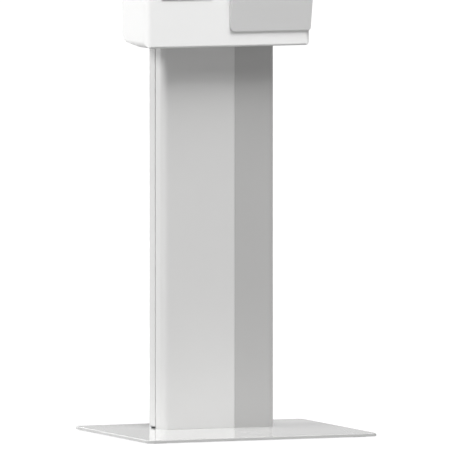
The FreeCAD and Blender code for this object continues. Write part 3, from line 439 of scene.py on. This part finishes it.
rocker_hub = Matrix.Translation((inlet_x, 87 * mm, 104 * mm)) @ Matrix.Rotation(math.radians(8), 4, "X")
slope = math.atan2(1.2, 6.0)
mark_low, mark_high = -0.05, 0.08
stroke_steps = [(0.32, 1.5, 0.3, mark_low), (0.32, 1.5, 0.3, mark_high)]
circle_profile = [(1.15, mark_low, False), (1.7, mark_low, False), (1.7, mark_high, False),
                  (1.15, mark_high, False)]
upper, lower = [rocker_hub @ Matrix.Translation((0, 4 * mm, half * 3 * mm))
                @ Matrix.Rotation(-half * slope, 4, "X") @ facing_back for half in (1, -1)]
marks = bmesh.new()
rounded(marks, upper, stroke_steps)
turned(marks, lower, circle_profile, hollow=True)
mark_white = moulded("switch_mark_white", (0.75, 0.75, 0.74), 0.5, 0.1, 900.0)
placed("rocker_marks", marks, mark_white, "rocker")


# Head shell. Folded and welded sheet with ground corners under a satin white coat,
# held by studs and nuts along the chassis. The hatch at its back has the same coat.
head_white = coat("head_white_coat", (0.90, 0.90, 0.895), 0.5, 0.58, 0.08, 0.2)
finish_nodes(head_white, "head_shell", "hatch")


# Display. Black printed border around the slightly lighter dark field of the panel, under one glass,
# which lies in a thin rubber gasket in the head's front.
def pane(name, colour, field, centre, half):
    """Black backed glass with a rectangular field that is a little lighter than its border."""
    material, tree, surface = new_material(name)
    place = shader(tree, "TexCoord").outputs["Object"]
    away = shader(tree, "VectorMath", {0: place, 1: centre}, operation="SUBTRACT").outputs["Vector"]
    size = shader(tree, "VectorMath", {0: away}, operation="ABSOLUTE").outputs["Vector"]
    parts = shader(tree, "SeparateXYZ", {"Vector": size}).outputs
    inside_x = shader(tree, "Math", {0: parts["X"], 1: half[0]}, operation="LESS_THAN").outputs[0]
    inside_z = shader(tree, "Math", {0: parts["Z"], 1: half[1]}, operation="LESS_THAN").outputs[0]
    inside = shader(tree, "Math", {0: inside_x, 1: inside_z}, operation="MULTIPLY").outputs[0]
    smear = shader(tree, "TexNoise", {"Vector": place, "Scale": 9.0, "Detail": 6.0}).outputs["Fac"]
    fill(tree, surface, {"Base Color": mixed(tree, inside, (*colour, 1.0), (*field, 1.0)),
                         "Roughness": spread(tree, smear, 0.03, 0.09)})
    return material


glass_low, glass_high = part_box("display_glass")
glass_mid = (glass_low + glass_high) / 2
border = 11 * mm
display = pane("display_glass", (0.005, 0.005, 0.006), (0.017, 0.018, 0.021), glass_mid,
               (glass_high.x - glass_mid.x - border, glass_high.z - glass_mid.z - border))
finish_nodes(display, "display_glass")
gasket = bmesh.new()
half_glass, glass_corner = (glass_high - glass_low) / 2 / mm, 6
gasket_steps = [(half_glass.x + gap, half_glass.z + gap, glass_corner + gap, lift)
                for gap, lift in ((0.05, 0.2), (0.45, 0.2), (0.45, 2.4), (0.25, 2.6), (0.05, 2.4))]
rounded(gasket, Matrix.Translation((glass_mid.x, glass_high.y, glass_mid.z)) @ facing_front, gasket_steps,
        hollow=True)
placed("display_gasket", gasket, rubber, "stand")


# Computer. A finned box in black anodised aluminium on the back of the chassis,
# with a row of pressed sockets on its underside.
def sockets(name, spots):
    """Pressed metal sockets with a plastic tongue inside each, at (place, width, height) in millimetres."""
    shells, tongues = bmesh.new(), bmesh.new()
    wall, depth = 0.4, 1.1
    for place, width, height in spots:
        half_width, half_height = width / 2, height / 2
        room_width, room_height = half_width - wall, half_height - wall
        rounded(shells, place, [(half_width, half_height, 0.8, 0), (half_width, half_height, 0.8, depth),
                                (room_width, room_height, 0.5, depth), (room_width, room_height, 0.5, 0)],
                hollow=True)
        tongue = (half_width - 2 * wall, half_height / 4, 0.2)
        rounded(tongues, place, [(*tongue, 0.02), (*tongue, 0.9)])
    placed(name + "_shells", shells, nickel, "stand")
    placed(name + "_tongues", tongues, black_plastic, "stand")


anodised = moulded("black_anodised", (0.035, 0.035, 0.038), 0.38, 0.1, 700.0)
finish_nodes(anodised, "computer", "print_head")
computer_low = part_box("computer")[0]
facing_down = Matrix.Rotation(math.pi, 4, "X")
sockets("computer_sockets",
        [(Matrix.Translation((computer_low.x + along * mm, computer_low.y + 14 * mm, computer_low.z))
          @ facing_down, width, 6) for along, width in ((20, 13), (38, 13), (57, 15), (76, 9))])


# Scanner hood. A grey wedge of the column's accent colour, painted lighter than the column's grey as painted
# light for its
#  downward-leaning face, with a dark window that looks down at the hand. The scanner behind it has four small
#  screws through its flange and one socket at the back.
# The hood's grey is painted lighter than the column's accent: painted light for its face, which leans down
# and gets less lamp light.
hood_grey_painted_light = coat("hood_grey_coat", (0.77, 0.77, 0.767), 0.40, 0.48, 0.08, 0.4)
finish_nodes(hood_grey_painted_light, "scanner_hood")
window_low, window_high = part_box("scan_window")
window_mid, window_border = (window_low + window_high) / 2, 5 * mm
window = pane("scan_glass", (0.010, 0.008, 0.009), (0.045, 0.010, 0.012), window_mid,
              (window_high.x - window_mid.x - window_border, window_high.z - window_mid.z - window_border))
finish_nodes(window, "scan_window")
scanner_low, scanner_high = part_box("scanner_module")
scanner_x = (scanner_low.x + scanner_high.x) / 2
scanner_socket = Matrix.Translation((scanner_x, scanner_high.y, scanner_low.z + 26 * mm)) @ facing_back
sockets("scanner_socket", [(scanner_socket, 12, 10)])
flange_back, screw_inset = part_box("scanner_bracket")[1].y + 2 * mm, 3 * mm
scanner_screws = [(x, flange_back, z) for x in (scanner_low.x + screw_inset, scanner_high.x - screw_inset)
                  for z in (scanner_low.z + screw_inset, scanner_high.z - screw_inset)]
fasteners("scanner_screws", button_head(3), scanner_screws, (0, 1, 0))


# Receipt printer. Dark grey bezel and flap in a spark texture, a roll of thermal paper with its
# wound layers on both ends, and a toothed tear bar of zinc plated sheet under the top of the slot.
grey_plastic = moulded("grey_plastic", (0.16, 0.16, 0.168), 0.5, 0.5, 1200.0)
finish_nodes(grey_plastic, "printer_bezel", "printer_door")
roll_low, roll_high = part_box("paper_roll")
layer_pitch = 0.5 * mm
paper = moulded("thermal_paper", (0.80, 0.80, 0.785), 0.6, 0.1, 300.0)
tree = paper.node_tree
place = shader(tree, "TexCoord").outputs["Object"]
from_middle = shader(tree, "VectorMath", {0: place, 1: (roll_low + roll_high) / 2}, operation="SUBTRACT")
from_axis = shader(tree, "VectorMath", {0: from_middle.outputs["Vector"], 1: (0, 1, 1)}, operation="MULTIPLY")
radius = shader(tree, "VectorMath", {0: from_axis.outputs["Vector"]}, operation="LENGTH").outputs["Value"]
turns = shader(tree, "Math", {0: radius, 1: 2 * math.pi / layer_pitch}, operation="MULTIPLY").outputs[0]
layer = shader(tree, "Math", {0: turns}, operation="SINE").outputs[0]
layers = shader(tree, "Bump", {"Strength": 0.5, "Distance": 0.1 * mm, "Height": layer})
fill(tree, tree.nodes["Principled BSDF"], {"Normal": layers.outputs["Normal"]})
finish_nodes(paper, "paper_roll")

printer_low, printer_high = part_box("printer_body")
sockets("printer_sockets",
        [(Matrix.Translation((printer_low.x + along * mm, printer_high.y, printer_low.z + 16 * mm))
          @ facing_back, width, 10) for along, width in ((22, 12), (44, 9))])

bezel_low, bezel_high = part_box("printer_bezel")
slot_top, bar_front, bar_sheet = bezel_high.z - 8 * mm, bezel_high.y + 0.6 * mm, 0.5 * mm
bar_left, bar_right = bezel_low.x + 9 * mm, bezel_high.x - 9 * mm
bar_back, bar_rise, bar_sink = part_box("print_head")[0].y - 0.02 * mm, 0.2 * mm, 0.3 * mm
tooth = 1 * mm
bar = bmesh.new()
stations = []
for k in range(2 * int((bar_right - bar_left) / (2 * tooth)) + 1):
    tip = slot_top - (3.6 if k % 2 else 2.8) * mm
    section = [(bar_front, tip), (bar_front, slot_top + bar_rise), (bar_back, slot_top + bar_rise),
               (bar_back, slot_top - bar_sink), (bar_front + bar_sheet, slot_top - bar_sink),
               (bar_front + bar_sheet, tip)]
    stations.append([bar.verts.new((bar_left + k * tooth, y, z)) for y, z in section])
skin(bar, stations, False)
placed("tear_bar", bar, zinc, "stand")


# World. A soft grey studio that the glossy coats mirror, darker overhead,
# with a thin white line at the horizon where the floor ends.
world = bpy.data.worlds.new("studio")
bpy.context.scene.world = world
world.use_nodes = True
tree = world.node_tree
direction = shader(tree, "TexCoord").outputs["Generated"]
rise = shader(tree, "SeparateXYZ", {"Vector": direction}).outputs["Z"]
ramp = shader(tree, "ValToRGB", {"Fac": rise})
ramp.color_ramp.elements[0].position = 0.015
ramp.color_ramp.elements[0].color = (1.0, 1.0, 1.0, 1.0)
ramp.color_ramp.elements[1].position = 1.0
ramp.color_ramp.elements[1].color = (0.14, 0.14, 0.14, 1.0)
ramp.color_ramp.elements.new(0.03).color = (0.49, 0.49, 0.49, 1.0)
fill(tree, tree.nodes["Background"], {"Color": ramp.outputs["Color"], "Strength": 1.0})


# Studio lamps. A large soft key from the left, a broad one and a smaller one above the user,
# and two weak ones that open up the back and the right side.
def softbox(name, where, target, width, height, power):
    """Rectangular soft lamp that looks at a point."""
    lamp = bpy.data.lights.new(name, "AREA")
    lamp.shape = "RECTANGLE"
    lamp.size = width
    lamp.size_y = height
    lamp.energy = power
    lamp_object = bpy.data.objects.new(name, lamp)
    bpy.context.scene.collection.objects.link(lamp_object)
    lamp_object.location = where
    lamp_object.rotation_euler = (Vector(target) - Vector(where)).to_track_quat("-Z", "Y").to_euler()


softbox("key_left", (-10.1, 1.4, 6.9), (0, 0, 0.6), 4.0, 4.5, 870.0)
softbox("front_fill", (-1.8, -7.4, 10.0), (0, 0, 0.6), 3.0, 2.4, 260.0)
softbox("top_front", (0, -4.3, 11.2), (0, 0, 0.6), 5.0, 5.0, 1540.0)
softbox("rear_fill", (-4.1, 10.2, 3.0), (0, 0, 0.8), 5.0, 3.2, 290.0)
softbox("side_fill", (7.6, 6.6, 3.0), (0, 0, 0.8), 4.0, 3.2, 330.0)


# Camera. Far away with a long lens, seen from the user's left and slightly above,
# as in the photograph.
azimuth = math.radians(22.12)
elevation = math.radians(3.845)
distance = 31.57
forward = Vector((math.sin(azimuth) * math.cos(elevation), math.cos(azimuth) * math.cos(elevation),
                  -math.sin(elevation)))
across = Vector((math.cos(azimuth), -math.sin(azimuth), 0))
upward = Vector((math.sin(azimuth) * math.sin(elevation), math.cos(azimuth) * math.sin(elevation),
                 math.cos(elevation)))
aim = Vector((0, 0, 0.4)) + upward * 0.0275 + across * 0.0003
camera_data = bpy.data.cameras.new("camera")
camera_data.sensor_width = 36.0
camera_data.lens = 1223.0
camera_data.clip_end = 600.0
camera = bpy.data.objects.new("camera", camera_data)
bpy.context.scene.collection.objects.link(camera)
camera.location = aim - forward * distance
camera.rotation_euler = forward.to_track_quat("-Z", "Y").to_euler()
bpy.context.scene.camera = camera
bpy.context.scene.view_settings.view_transform = "Standard"
